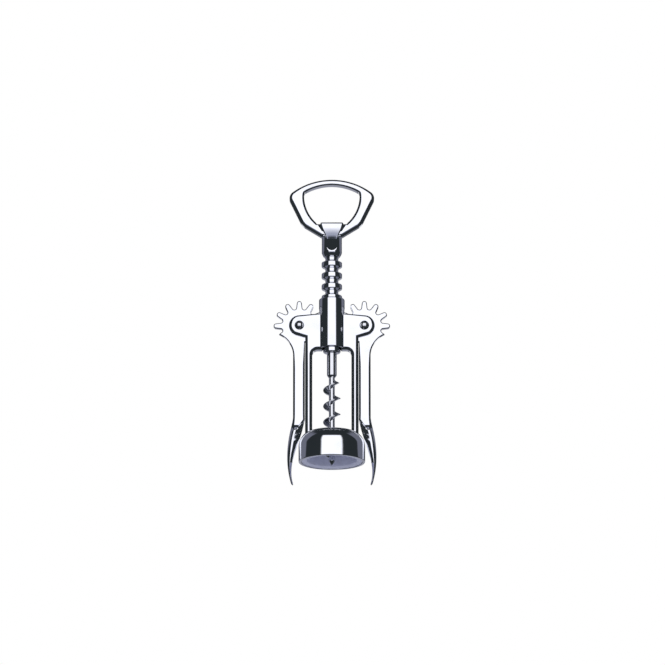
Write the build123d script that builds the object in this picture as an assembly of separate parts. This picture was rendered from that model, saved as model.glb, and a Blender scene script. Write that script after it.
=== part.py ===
"""Wing corkscrew: a die-cast body on a bell, two toothed levers, a ringed rack and a turning worm.

The tool is set on a bottle with its levers down: +Z is up along the worm, X runs from lever to lever,
-Y is the front, and the zero is at the centre of the bell's rim. All lengths are in millimetres.
"""
from build123d import *
import math
import os

os.makedirs("parts", exist_ok=True)

# ---------------------------------------------------------------- rack and gear pair
MODULE = 2.22                 # pitch circle diameter over teeth in a full turn
TEETH_PER_TURN = 12
TEETH_CUT = 7                 # teeth on each lever, from facing the rack to facing away from it
TOOTH_BACKLASH = 0.30
TOOTH_TAPER = 7.0             # degrees that each flank leans in
GEAR_THICKNESS = 3.0
RACK_RADIUS = 6.2
RACK_FLOOR_RADIUS = 3.95      # bottom of the grooves
GROOVE_WIDTH = 3.9            # wider than the levers' teeth, so that they roll in and out freely
RACK_NOSE_RADIUS = 5.3
RACK_NOSE_DROP = 1.8          # the rack's plain end shows this far below the arch
RACK_NOSE_EDGE = 0.7
RACK_TRAVEL = 26.0

# ---------------------------------------------------------------- clearances
RUN_GAP = 0.05                # shaft in a hole that it turns in
SLIDE_GAP = 0.10              # rack in the tube
SLOT_GAP = 0.15               # each face of a lever to its cheek
PRESS_GAP = 0.01              # pieces that are driven in
END_GAP = 0.10                # flat faces that turn on each other
STOP_GAP = 0.30               # left between hub and tube when the rack is down
TOOTH_CLEARANCE = 0.30        # tooth tips to the metal around them
CUT_OVER = 5.0                # cutters run on past the metal by this

# ---------------------------------------------------------------- levers
LEVER_REACH = 99.1            # pivot down to the claw's tip
ARM_INNER = 3.36              # the arm's inner edge, inwards of the pivot
ARM_WIDTH = 7.1
ARM_CURVE = 14.0              # radius from the arm's outer edge to the gear's shoulder
SHOULDER_RADIUS = 13.2        # where the gear's last valley ends
ARM_FOOT_THICKNESS = 5.0
ARM_TAPER_START = 11.0        # the arm starts to thicken this far below the pivot
ARM_END_DROP = 61.6           # the arm's flat ends this far below the pivot
ARM_END_SLOPE = 1.6
CLAW_TOP_HALF_WIDTH = 3.55
CLAW_TOP_HALF_DEPTH = 2.3
CLAW_TIP_HALF = 0.6           # the blunt tip, across and through
CLAW_ROOT_DROP = 59.1         # below the pivot, inside the arm's foot
CLAW_BULGE = 5.45             # how far the claw swings out from its root
CLAW_BULGE_DROP = 83.1
CLAW_TIP_OUT = 4.0            # how far out its tip is from its root
CLAW_CORNER = 0.55            # bevel of its corners, over its half depth
CLAW_STATIONS = 5
CLAW_TAPER_POWER = 1.3        # the claw slims slowly at first

# ---------------------------------------------------------------- rivets
RIVET_RADIUS = 2.0
RIVET_HEAD_RADIUS = 2.9
RIVET_HEAD_HEIGHT = 2.2
RIVET_CROWN_RADIUS = 1.5      # the flat on top of the head
RIVET_TAIL_HEIGHT = 1.0       # the peened end behind

# ---------------------------------------------------------------- body casting
BODY_DEPTH = 6.5              # cheeks and legs, front to back
BODY_EDGE = 1.2               # bevel of the casting's edges
EAR_RADIUS = 6.25
EAR_SHOULDER = 7.3            # the cheeks' top edge at the tube, above the pivots
CHEEK_DROP = 7.5              # the cheeks' bottom corner, below the pivots
TUBE_RADIUS = 7.77
TUBE_RISE = 16.9              # above the pivots
TUBE_DROP = 13.9              # below the pivots
TUBE_TOP_EDGE = 0.9
ARCH_DROP = 15.1              # top of the window, below the pivots
ARCH_CORNER = 3.2
LEG_OUTER = 16.1
LEG_WIDTH = 4.25
PIVOT_HEIGHT = 84.6           # above the bell's rim
BELL_RADIUS = 20.05
BELL_HEIGHT = 18.5
SHOULDER_WIDTH = 8.0          # the bell's shoulder is a quarter of an ellipse, this far in
SHOULDER_HEIGHT = 9.0
SHOULDER_BEVELS = 3           # as many straight bevels stand for its curve
BELL_WALL = 1.7
BELL_CAVITY = 12.5            # depth of the casting's hollow
WORM_HOLE_RADIUS = 6.4

# ---------------------------------------------------------------- bell liner
LINER_WALL = 3.34
LINER_CEILING = 1.8
LINER_RECESS = 0.4            # the liner's rim stands back from the bell's
LINER_LEAD_IN = 0.8

# ---------------------------------------------------------------- worm
SHANK_RADIUS = 2.95
JOURNAL_RADIUS = 2.45         # the part that turns in the rack
SHANK_LENGTH = 13.8           # from the rack's end to the taper
SHANK_TAPER = 1.5
CORE_RADIUS = 1.8
BLADE_RADIUS = 5.25
BLADE_PITCH = 9.95
BLADE_ROOT_WIDTH = 3.0
BLADE_EDGE_WIDTH = 0.5
BLADE_PHASE_DROP = 18.1       # from the rack's end down to where the blade's top turn points to +X
WORM_POINT_DROP = 2.2         # the point, below the bell's rim
BLADE_ROOT_SINK = 0.7         # the blade starts inside the core, at this share of its radius
BLADE_POINT_TAPER = 9.0       # height over which the blade grows from the point
BLADE_TOP_TAPER = 3.2         # height over which it fades out below the shank

# ---------------------------------------------------------------- bow handle
HUB_RADIUS = 6.1
HUB_EDGE = 0.9
HUB_HEIGHT = 13.4
SOCKET_DEPTH = 10.0
BOW_PIN_RADIUS = 1.0
BOW_PIN_HEIGHT = 5.6          # above the hub's foot
BOW_PIN_SUNK = 0.25
BOW_DEPTH = 5.7
BOW_EDGE = 1.2
BOW_HEIGHT = 48.5             # hub's foot to the top of the bow
BOW_TOP_ARC = 40.0
BOW_SHOULDER_X = 26.8         # where top and side would meet in a point
BOW_SHOULDER_ROUND = 4.5
BOW_KNEE_X = 18.0
BOW_KNEE_Z = 19.8             # above the hub's foot, as all heights of the bow
BOW_KNEE_ROUND = 5.0
BOW_THROAT_Z = 12.4
BOW_RIM = 3.3                 # metal above the eye
EYE_ARCH = 4.9                # how far the eye's top rises from its corners
EYE_CORNER_X = 16.8
EYE_WAIST_X = 15.0
EYE_WAIST_Z = 29.2
EYE_FOOT_X = 9.2
EYE_FOOT_Z = 21.0
EYE_CORNER_ROUND = 1.5
POCKET_FOOT_X = 5.6           # beside the lip the bow's face is sunk down to here
POCKET_FOOT_Z = 16.6
POCKET_DEPTH = 2.2
LIP_HALF_WIDTH = 7.2
LIP_TOP_Z = 21.2
LIP_ROOT_HALF_WIDTH = 3.8
LIP_ROOT_Z = 11.7
LIP_FRONT = 4.0               # how far the lip's edge stands in front of the middle
LIP_ROOT_FRONT = 2.8          # and its root, where the scoop is deepest
SCOOP_HALF_WIDTH = 3.7
SCOOP_FOOT_Z = 3.6            # here the scoop runs out of the hub

# ---------------------------------------------------------------- worked out
RACK_PITCH = math.pi * MODULE
PITCH_RADIUS = MODULE * TEETH_PER_TURN / 2
TIP_RADIUS = PITCH_RADIUS + MODULE
ROOT_RADIUS = PITCH_RADIUS - 1.25 * MODULE
PIVOT_X = RACK_RADIUS + SLOT_GAP + PITCH_RADIUS
RIM_Z = 0.0
PIVOT_Z = RIM_Z + PIVOT_HEIGHT
TUBE_TOP_Z = PIVOT_Z + TUBE_RISE
TUBE_FOOT_Z = PIVOT_Z - TUBE_DROP
ARCH_Z = PIVOT_Z - ARCH_DROP
BELL_TOP_Z = RIM_Z + BELL_HEIGHT
CAVITY_TOP_Z = RIM_Z + BELL_CAVITY
SEAT_Z = CAVITY_TOP_Z - LINER_CEILING
HUB_FOOT_Z = TUBE_TOP_Z + RACK_TRAVEL + STOP_GAP
RACK_TOP_Z = HUB_FOOT_Z - END_GAP
RACK_FOOT_Z = ARCH_Z - RACK_NOSE_DROP
WORM_SHOULDER_Z = RACK_FOOT_Z - END_GAP
SHANK_FOOT_Z = WORM_SHOULDER_Z - SHANK_LENGTH
CORE_TOP_Z = SHANK_FOOT_Z - SHANK_TAPER
BLADE_TOP_Z = CORE_TOP_Z - END_GAP
BLADE_PHASE_Z = RACK_FOOT_Z - BLADE_PHASE_DROP
WORM_POINT_Z = RIM_Z - WORM_POINT_DROP
GROOVES = int((RACK_TOP_Z - PIVOT_Z) // RACK_PITCH) + 1
TUBE_BORE_RADIUS = RACK_RADIUS + SLIDE_GAP
SLOT_WIDTH = GEAR_THICKNESS + 2 * SLOT_GAP
ARM_INNER_X = -PIVOT_X + ARM_INNER
ARM_OUTER_X = ARM_INNER_X - ARM_WIDTH
ARM_END_Z = PIVOT_Z - ARM_END_DROP
LINER_RADIUS = BELL_RADIUS - BELL_WALL - PRESS_GAP
LINER_MOUTH_RADIUS = LINER_RADIUS - LINER_WALL
EYE_TOP_Z = BOW_HEIGHT - BOW_RIM
EYE_CORNER_Z = EYE_TOP_Z - EYE_ARCH


def turned(*outline):
    """A solid of revolution about the vertical axis, from the corners of its half outline (radius, z)."""
    return revolve(Plane.XZ * make_face(Polyline(*outline, close=True)), Axis.Z)


def front_plate(outline, depth):
    """A plate that stands in the X-Z plane, half its depth in front and half behind."""
    return extrude(outline, depth / 2, both=True)


def outline_edges(plate):
    """The edges round the front and the back of a plate, without those between two faces of one side."""
    edges = [edge for face in plate.faces().filter_by(Axis.Y) for edge in face.edges()]
    return [edge for edge in edges if sum(edge.is_same(other) for other in edges) == 1]


# ---------------------------------------------------------------- gear outline
def polar(radius, degrees, aside=0.0):
    """A point of the left lever: radius out from the pivot along a direction, and aside to its left."""
    turn = math.radians(degrees)
    x = radius * math.cos(turn) - aside * math.sin(turn)
    z = radius * math.sin(turn) + aside * math.cos(turn)
    return (x - PIVOT_X, z + PIVOT_Z)


def tooth_sizes():
    """Where a tooth's straight flank meets its round tip and the round valley beside it."""
    lean = math.radians(TOOTH_TAPER)
    half_step = math.pi / TEETH_PER_TURN
    half_at_pitch = (RACK_PITCH / 2 - TOOTH_BACKLASH) / 2
    reach = (half_at_pitch + PITCH_RADIUS * math.tan(lean)) * math.cos(lean)
    tip = (reach - TIP_RADIUS * math.sin(lean)) / (1 - math.sin(lean))
    spread = math.sin(half_step + lean)
    valley = (ROOT_RADIUS * spread - reach) / (1 - spread)
    valley_out = (ROOT_RADIUS + valley) * math.cos(half_step)
    valley_aside = (ROOT_RADIUS + valley) * math.sin(half_step)
    flank_top = (TIP_RADIUS - tip + tip * math.sin(lean), tip * math.cos(lean))
    flank_foot = (valley_out - valley * math.sin(lean), valley_aside - valley * math.cos(lean))
    return flank_top, flank_foot


def gear_outline():
    """Round-tipped teeth with round valleys between them, from the rack side over the top and out."""
    (top_out, top_aside), (foot_out, foot_aside) = tooth_sizes()
    step = 360 / TEETH_PER_TURN
    edges = []
    for tooth in range(TEETH_CUT):
        turn = tooth * step
        tip = ThreePointArc(polar(top_out, turn, -top_aside), polar(TIP_RADIUS, turn),
                            polar(top_out, turn, top_aside))
        valley = ThreePointArc(polar(foot_out, turn, foot_aside),
                               polar(ROOT_RADIUS, turn + step / 2),
                               polar(foot_out, turn + step, -foot_aside))
        edges += [Line(polar(foot_out, turn, -foot_aside), tip @ 0), tip,
                  Line(tip @ 1, valley @ 0), valley]
    return edges, edges[0] @ 0, edges[-1] @ 1


def gear_shoulder():
    """The corner where the last valley ends, on the flank of the tooth that would come next."""
    (top_out, top_aside), (foot_out, foot_aside) = tooth_sizes()
    share = (SHOULDER_RADIUS - foot_out) / (top_out - foot_out)
    aside = foot_aside + share * (top_aside - foot_aside)
    return polar(SHOULDER_RADIUS, TEETH_CUT * 360 / TEETH_PER_TURN, -aside)


# ---------------------------------------------------------------- levers
def lever_plate():
    """The flat of the left lever: gear, shoulder, and an arm that thickens towards the claw."""
    edges, first, last = gear_outline()
    corner = gear_shoulder()
    centre_x = ARM_OUTER_X - ARM_CURVE
    rise = math.sqrt(ARM_CURVE ** 2 - (corner[0] - centre_x) ** 2)
    curve_z = corner[1] - rise
    half_turn = math.atan2(rise, corner[0] - centre_x) / 2
    middle = (centre_x + ARM_CURVE * math.cos(half_turn), curve_z + ARM_CURVE * math.sin(half_turn))
    curve = ThreePointArc(corner, middle, (ARM_OUTER_X, curve_z))
    inner_top = (ARM_INNER_X, PIVOT_Z - math.sqrt(ROOT_RADIUS ** 2 - ARM_INNER ** 2))
    heel_start = -math.degrees(math.acos(ARM_INNER / ROOT_RADIUS))
    heel_end = -180 / TEETH_PER_TURN
    root = ThreePointArc(inner_top, polar(ROOT_RADIUS, (heel_start + heel_end) / 2),
                         polar(ROOT_RADIUS, heel_end))
    sides = [Line(last, corner), curve,
             Polyline(curve @ 1, (ARM_OUTER_X, ARM_END_Z), (ARM_INNER_X, ARM_END_Z), inner_top),
             root, Line(root @ 1, first)]
    outline = Plane.XZ * make_face(edges + sides)
    return front_plate(outline, ARM_FOOT_THICKNESS) & arm_side_view()


def arm_side_view():
    """The lever's thickness, seen from the side: thin at the gear, thicker at the arm's foot."""
    thin = GEAR_THICKNESS / 2
    thick = ARM_FOOT_THICKNESS / 2
    start_z = PIVOT_Z - ARM_TAPER_START
    top_z = PIVOT_Z + 2 * TIP_RADIUS
    foot = [(-thick + ARM_END_SLOPE, ARM_END_Z - ARM_END_SLOPE), (-thick, ARM_END_Z)]
    front = foot + [(-thin, start_z), (-thin, top_z)]
    back = [(-y, z) for y, z in reversed(front)]
    side = make_face(Plane.YZ * Polyline(*front, *back, close=True))
    return extrude(side, 2 * PIVOT_X, both=True)


def claw():
    """A horn that curves out and down to a blunt tip: level slices of falling size along an arc."""
    root_x = (ARM_INNER_X + ARM_OUTER_X) / 2
    spine = Plane.XZ * ThreePointArc((root_x, PIVOT_Z - CLAW_ROOT_DROP),
                                     (root_x - CLAW_BULGE, PIVOT_Z - CLAW_BULGE_DROP),
                                     (root_x - CLAW_TIP_OUT, PIVOT_Z - LEVER_REACH))
    slices = []
    for station in range(CLAW_STATIONS):
        along = station / (CLAW_STATIONS - 1)
        full = 1 - along ** CLAW_TAPER_POWER
        half_width = CLAW_TIP_HALF + (CLAW_TOP_HALF_WIDTH - CLAW_TIP_HALF) * full
        half_depth = CLAW_TIP_HALF + (CLAW_TOP_HALF_DEPTH - CLAW_TIP_HALF) * full
        square = Rectangle(2 * half_width, 2 * half_depth)
        slices.append(Pos(*(spine @ along)) * chamfer(square.vertices(), CLAW_CORNER * half_depth))
    return loft(slices, ruled=True)


def left_lever():
    bore = Pos(-PIVOT_X, 0, PIVOT_Z) * Rot(90, 0, 0) * Cylinder(RIVET_RADIUS + RUN_GAP, BODY_DEPTH)
    return lever_plate() + claw() - bore


def left_rivet():
    """A rivet with a raised head on the front cheek and a flat peened end behind."""
    face = BODY_DEPTH / 2
    end = face + RIVET_HEAD_HEIGHT
    tail = -face - RIVET_TAIL_HEIGHT
    rivet = turned((0, end), (RIVET_CROWN_RADIUS, end), (RIVET_HEAD_RADIUS, face), (RIVET_RADIUS, face),
                   (RIVET_RADIUS, -face), (RIVET_HEAD_RADIUS, -face), (RIVET_HEAD_RADIUS, tail), (0, tail))
    return Pos(-PIVOT_X, 0, PIVOT_Z) * Rot(90, 0, 0) * rivet


# ---------------------------------------------------------------- body casting
def casting_plate():
    """The flat of the casting: two ears, the cheeks and the two legs, with the window cut out."""
    ears = [(Pos(side * PIVOT_X, PIVOT_Z) * Circle(EAR_RADIUS)).edges() for side in (-1, 1)]
    shoulder = Line((-TUBE_RADIUS, PIVOT_Z + EAR_SHOULDER), (TUBE_RADIUS, PIVOT_Z + EAR_SHOULDER))
    corner_z = PIVOT_Z - CHEEK_DROP
    corner = Line((-LEG_OUTER, corner_z), (LEG_OUTER, corner_z))
    cheeks = make_hull([*ears[0], *ears[1], shoulder, corner])
    foot_z = (BELL_TOP_Z + CAVITY_TOP_Z) / 2
    legs = Pos(0, (corner_z + foot_z) / 2) * Rectangle(2 * LEG_OUTER, corner_z - foot_z)
    half_window = LEG_OUTER - LEG_WIDTH
    window_z = (ARCH_Z + RIM_Z) / 2
    window = Pos(0, window_z) * RectangleRounded(2 * half_window, ARCH_Z - RIM_Z, ARCH_CORNER)
    plate = front_plate(Plane.XZ * (cheeks + legs - window), BODY_DEPTH)
    return chamfer(outline_edges(plate), BODY_EDGE)


def tube():
    """The barrel that guides the rack."""
    height = TUBE_TOP_Z - TUBE_FOOT_Z
    barrel = Pos(0, 0, (TUBE_TOP_Z + TUBE_FOOT_Z) / 2) * Cylinder(TUBE_RADIUS, height)
    rims = barrel.edges().filter_by(GeomType.CIRCLE).sort_by(Axis.Z)
    return chamfer(rims[-1], TUBE_TOP_EDGE)


def bell():
    """The bell over the bottle's mouth, open below, with the worm's hole in its crown."""
    crown_radius = BELL_RADIUS - SHOULDER_WIDTH
    side_z = BELL_TOP_Z - SHOULDER_HEIGHT
    shoulder = []
    for corner in range(SHOULDER_BEVELS + 1):
        turn = math.pi / 2 * corner / SHOULDER_BEVELS
        shoulder.append((crown_radius + SHOULDER_WIDTH * math.cos(turn),
                         side_z + SHOULDER_HEIGHT * math.sin(turn)))
    inner = BELL_RADIUS - BELL_WALL
    return turned(*shoulder, (WORM_HOLE_RADIUS, BELL_TOP_Z), (WORM_HOLE_RADIUS, CAVITY_TOP_Z),
                  (inner, CAVITY_TOP_Z), (inner, RIM_Z), (BELL_RADIUS, RIM_Z))


def gear_slot(side):
    """The room that one lever's gear turns in."""
    disc = Cylinder(TIP_RADIUS + TOOTH_CLEARANCE, SLOT_WIDTH)
    return Pos(side * PIVOT_X, 0, PIVOT_Z) * Rot(90, 0, 0) * disc


def frame_body():
    casting = casting_plate() + tube() + bell()
    bore_foot = ARCH_Z - BODY_EDGE
    bore_height = TUBE_TOP_Z - bore_foot
    casting -= Pos(0, 0, bore_foot + bore_height / 2) * Cylinder(TUBE_BORE_RADIUS, bore_height)
    for side in (-1, 1):
        casting -= gear_slot(side)
        hole = Cylinder(RIVET_RADIUS + PRESS_GAP, BODY_DEPTH)
        casting -= Pos(side * PIVOT_X, 0, PIVOT_Z) * Rot(90, 0, 0) * hole
    return casting


def bell_liner():
    """The plastic ring that the bottle's mouth slides into and stops against."""
    foot = RIM_Z + LINER_RECESS
    return turned((LINER_RADIUS, CAVITY_TOP_Z), (LINER_RADIUS, foot),
                  (LINER_MOUTH_RADIUS + LINER_LEAD_IN, foot), (LINER_MOUTH_RADIUS, foot + LINER_LEAD_IN),
                  (LINER_MOUTH_RADIUS, SEAT_Z), (WORM_HOLE_RADIUS, SEAT_Z),
                  (WORM_HOLE_RADIUS, CAVITY_TOP_Z))


# ---------------------------------------------------------------- rack
def rack():
    """A hollow rod with rings for teeth, so that it meshes with the levers whichever way it is turned."""
    height = RACK_TOP_Z - RACK_FOOT_Z
    rod = Pos(0, 0, RACK_FOOT_Z + height / 2) * Cylinder(RACK_RADIUS, height)
    outside = 2 * RACK_RADIUS
    for groove in range(GROOVES):
        ring_of_air = Cylinder(outside, GROOVE_WIDTH) - Cylinder(RACK_FLOOR_RADIUS, GROOVE_WIDTH)
        rod -= Pos(0, 0, PIVOT_Z + groove * RACK_PITCH) * ring_of_air
    nose_top = PIVOT_Z - RACK_PITCH + GROOVE_WIDTH / 2
    rod -= turned((outside, nose_top), (RACK_NOSE_RADIUS, nose_top),
                  (RACK_NOSE_RADIUS, RACK_FOOT_Z + RACK_NOSE_EDGE),
                  (RACK_NOSE_RADIUS - RACK_NOSE_EDGE, RACK_FOOT_Z), (outside, RACK_FOOT_Z))
    bore = Cylinder(JOURNAL_RADIUS + RUN_GAP, 2 * height)
    return rod - Pos(0, 0, RACK_FOOT_Z) * bore


# ---------------------------------------------------------------- worm
def worm():
    """One steel piece: a journal through the rack into the hub, a shank, and the helical blade."""
    core_foot = WORM_POINT_Z - BLADE_ROOT_WIDTH
    core_height = CORE_TOP_Z - core_foot
    core = Pos(0, 0, core_foot + core_height / 2) * Cylinder(CORE_RADIUS, core_height)
    spiral = core + (blade() - blade_fade()) - point_shavings(core_foot)
    top_z = HUB_FOOT_Z + SOCKET_DEPTH - PRESS_GAP
    return spiral + turned((0, top_z), (JOURNAL_RADIUS, top_z), (JOURNAL_RADIUS, WORM_SHOULDER_Z),
                           (SHANK_RADIUS, WORM_SHOULDER_Z), (SHANK_RADIUS, SHANK_FOOT_Z),
                           (CORE_RADIUS, CORE_TOP_Z), (0, CORE_TOP_Z))


def blade():
    """A right-handed ribbon wound on the core, thick at its root and thin at its edge."""
    middle = (CORE_RADIUS + BLADE_RADIUS) / 2
    inwards = middle - CORE_RADIUS * BLADE_ROOT_SINK
    outwards = BLADE_RADIUS - middle
    path = Helix(BLADE_PITCH, BLADE_TOP_Z - BLADE_ROOT_WIDTH / 2 - WORM_POINT_Z, middle)
    outline = Polyline((-inwards, -BLADE_ROOT_WIDTH / 2), (outwards, -BLADE_EDGE_WIDTH / 2),
                       (outwards, BLADE_EDGE_WIDTH / 2), (-inwards, BLADE_ROOT_WIDTH / 2), close=True)
    section = Plane(origin=path @ 0, x_dir=(1, 0, 0), z_dir=path % 0) * make_face(outline)
    start_turn = (WORM_POINT_Z - BLADE_PHASE_Z) / BLADE_PITCH * 360
    return Pos(0, 0, WORM_POINT_Z) * Rot(0, 0, start_turn) * sweep(section, path=path, is_frenet=True)


def blade_fade():
    """What is ground off the blade's upper end, so that it fades into the core."""
    inside = CORE_RADIUS * BLADE_ROOT_SINK
    outside = 2 * BLADE_RADIUS
    return turned((BLADE_RADIUS + RUN_GAP, BLADE_TOP_Z - BLADE_TOP_TAPER), (inside, BLADE_TOP_Z),
                  (inside, BLADE_TOP_Z + BLADE_PITCH), (outside, BLADE_TOP_Z + BLADE_PITCH),
                  (outside, BLADE_TOP_Z - BLADE_TOP_TAPER))


def point_shavings(foot_z):
    """What is ground off the lower end, so that core and blade come to a point."""
    outside = 2 * BLADE_RADIUS
    cone_top = WORM_POINT_Z + BLADE_POINT_TAPER * outside / BLADE_RADIUS
    return turned((0, WORM_POINT_Z), (outside, cone_top), (outside, foot_z), (0, foot_z))


# ---------------------------------------------------------------- bow handle
def above_hub(x, height):
    return (x, HUB_FOOT_Z + height)


def bow_ring():
    """The bow's outline with its eye cut out, its edges rounded."""
    top = RadiusArc(above_hub(-BOW_SHOULDER_X, bow_shoulder_height()),
                    above_hub(BOW_SHOULDER_X, bow_shoulder_height()), BOW_TOP_ARC)
    sides = Polyline(top @ 1, above_hub(BOW_KNEE_X, BOW_KNEE_Z), above_hub(HUB_RADIUS, BOW_THROAT_Z),
                     above_hub(-HUB_RADIUS, BOW_THROAT_Z), above_hub(-BOW_KNEE_X, BOW_KNEE_Z), top @ 0)
    outline = make_face([top, sides])
    corners = outline.vertices().sort_by(Axis.Y)
    outline = fillet(corners[-2:], BOW_SHOULDER_ROUND)
    knees = [v for v in outline.vertices() if abs(v.Y - HUB_FOOT_Z - BOW_KNEE_Z) < PRESS_GAP]
    outline = fillet(knees, BOW_KNEE_ROUND)
    ring = front_plate(Plane.XZ * (outline - bow_eye()), BOW_DEPTH)
    return chamfer(outline_edges(ring), BOW_EDGE) - throat_pocket()


def bow_shoulder_height():
    return BOW_HEIGHT - BOW_TOP_ARC + math.sqrt(BOW_TOP_ARC ** 2 - BOW_SHOULDER_X ** 2)


def bow_eye():
    """The finger hole: an arched top, sides that curve in, and a flat foot behind the opener's lip."""
    arch = ThreePointArc(above_hub(-EYE_CORNER_X, EYE_CORNER_Z), above_hub(0, EYE_TOP_Z),
                         above_hub(EYE_CORNER_X, EYE_CORNER_Z))
    right = ThreePointArc(arch @ 1, above_hub(EYE_WAIST_X, EYE_WAIST_Z),
                          above_hub(EYE_FOOT_X, EYE_FOOT_Z))
    left = ThreePointArc(above_hub(-EYE_FOOT_X, EYE_FOOT_Z), above_hub(-EYE_WAIST_X, EYE_WAIST_Z), arch @ 0)
    eye = make_face([arch, right, Line(right @ 1, left @ 0), left])
    corners = [v for v in eye.vertices() if v.Y > HUB_FOOT_Z + EYE_WAIST_Z]
    return fillet(corners, EYE_CORNER_ROUND)


def throat_pocket():
    """The sunk face on both sides of the lip, as the eye's sides run on down to it."""
    front = -BOW_DEPTH / 2
    outline = Polyline(above_hub(-EYE_FOOT_X, EYE_FOOT_Z), above_hub(EYE_FOOT_X, EYE_FOOT_Z),
                       above_hub(POCKET_FOOT_X, POCKET_FOOT_Z), above_hub(-POCKET_FOOT_X, POCKET_FOOT_Z),
                       close=True)
    return Pos(0, front + POCKET_DEPTH, 0) * extrude(Plane.XZ * make_face(outline), BOW_DEPTH)


def opener_lip():
    """The pad that lifts a crown cap: wide at its lip, narrowing into the hub."""
    outline = Polyline(above_hub(-LIP_HALF_WIDTH, LIP_TOP_Z), above_hub(LIP_HALF_WIDTH, LIP_TOP_Z),
                       above_hub(LIP_ROOT_HALF_WIDTH, LIP_ROOT_Z), above_hub(LIP_ROOT_HALF_WIDTH, 0),
                       above_hub(-LIP_ROOT_HALF_WIDTH, 0), above_hub(-LIP_ROOT_HALF_WIDTH, LIP_ROOT_Z),
                       close=True)
    return extrude(Plane.XZ * make_face(outline), LIP_FRONT)


def scoop():
    """The hollow in front of the lip and below it: deepest at the lip's root, and round at its foot."""
    bowl_z = SCOOP_FOOT_Z + SCOOP_HALF_WIDTH
    flare = LIP_HALF_WIDTH + BOW_EDGE
    outline = Polyline(above_hub(-SCOOP_HALF_WIDTH, bowl_z), above_hub(SCOOP_HALF_WIDTH, bowl_z),
                       above_hub(SCOOP_HALF_WIDTH, LIP_ROOT_Z), above_hub(flare, LIP_TOP_Z),
                       above_hub(-flare, LIP_TOP_Z), above_hub(-SCOOP_HALF_WIDTH, LIP_ROOT_Z), close=True)
    bowl = Pos(*above_hub(0, bowl_z)) * Circle(SCOOP_HALF_WIDTH)
    room = extrude(Plane.XZ * (make_face(outline) + bowl), 2 * HUB_RADIUS)
    side_view = Polyline(above_hub(-LIP_FRONT, LIP_TOP_Z), above_hub(-LIP_ROOT_FRONT, LIP_ROOT_Z),
                         above_hub(-HUB_RADIUS, SCOOP_FOOT_Z), above_hub(-2 * HUB_RADIUS, SCOOP_FOOT_Z),
                         above_hub(-2 * HUB_RADIUS, LIP_TOP_Z), close=True)
    return room & extrude(Plane.YZ * make_face(side_view), flare + CUT_OVER, both=True)


def bow_handle():
    """The turning handle: bow, opener's lip and the hub that sits on the rack."""
    hub = Pos(0, 0, HUB_FOOT_Z + HUB_HEIGHT / 2) * Cylinder(HUB_RADIUS, HUB_HEIGHT)
    rims = hub.edges().filter_by(GeomType.CIRCLE).sort_by(Axis.Z)
    hub = chamfer([rims[0], rims[-1]], HUB_EDGE)
    handle = hub + bow_ring() + opener_lip() - scoop()
    socket = Cylinder(JOURNAL_RADIUS + PRESS_GAP, SOCKET_DEPTH)
    handle -= Pos(0, 0, HUB_FOOT_Z + SOCKET_DEPTH / 2) * socket
    return handle - bow_pin_hole()


def bow_pin_bar(radius, length):
    return Pos(0, 0, HUB_FOOT_Z + BOW_PIN_HEIGHT) * Rot(0, 90, 0) * Cylinder(radius, length)


def bow_pin_hole():
    return bow_pin_bar(BOW_PIN_RADIUS + PRESS_GAP, 2 * HUB_RADIUS + CUT_OVER)


def bow_pin():
    """A pin driven across the hub and the worm's journal, its ends just below the hub's surface."""
    return bow_pin_bar(BOW_PIN_RADIUS, 2 * (HUB_RADIUS - BOW_PIN_SUNK))


# ---------------------------------------------------------------- all the pieces
left = left_lever()
rivet = left_rivet()
pieces = {
    "frame_body": frame_body(),
    "bell_liner": bell_liner(),
    "left_rivet": rivet,
    "right_rivet": mirror(rivet, about=Plane.YZ),
    "left_lever": left,
    "right_lever": mirror(left, about=Plane.YZ),
    "rack": rack(),
    "worm": worm() - bow_pin_hole(),
    "bow_handle": bow_handle(),
    "bow_pin": bow_pin(),
}
for name, piece in pieces.items():
    export_step(piece, f"parts/{name}.step")
    print(name, round(piece.volume, 1))
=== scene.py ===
# %% [markdown]
# # A wing corkscrew, piece by piece
#
# A wing corkscrew has a die-cast body that sits on the bottle, two levers with gear teeth, a rod
# with rings that the teeth drive, a screw that turns inside the rod, and a bow-shaped handle on
# top. The tool's solids are already made and packed. This lesson loads them as a fixed frame and
# builds the finished surfaces round them: ground edges, polished chrome, and a plain studio.
# Positive z runs up the screw, x from lever to lever, and the front looks along negative y. The
# zero is at the centre of the bell's rim.

# %% Load the fixed frame
import bmesh
import bpy
import numpy as np
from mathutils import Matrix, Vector


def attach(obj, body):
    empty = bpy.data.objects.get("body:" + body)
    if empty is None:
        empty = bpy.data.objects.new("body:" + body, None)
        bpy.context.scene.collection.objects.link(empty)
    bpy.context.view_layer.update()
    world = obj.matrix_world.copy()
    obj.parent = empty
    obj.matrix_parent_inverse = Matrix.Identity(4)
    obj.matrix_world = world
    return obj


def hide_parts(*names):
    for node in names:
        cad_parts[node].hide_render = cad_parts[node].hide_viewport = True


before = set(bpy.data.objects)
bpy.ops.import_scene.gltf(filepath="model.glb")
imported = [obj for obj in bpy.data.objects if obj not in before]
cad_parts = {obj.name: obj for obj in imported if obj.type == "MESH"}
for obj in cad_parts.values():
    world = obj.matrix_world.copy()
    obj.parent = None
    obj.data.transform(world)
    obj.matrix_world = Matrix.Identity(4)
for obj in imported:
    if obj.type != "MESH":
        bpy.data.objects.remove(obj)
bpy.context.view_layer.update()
print("nodes:", sorted(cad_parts))

# %% [markdown]
# ## Sizes
#
# The sizes are those of the solids, in millimetres; they become metres where a mesh is made. Sizes
# that several pieces share stand here, and the others beside the piece they belong to.

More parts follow.
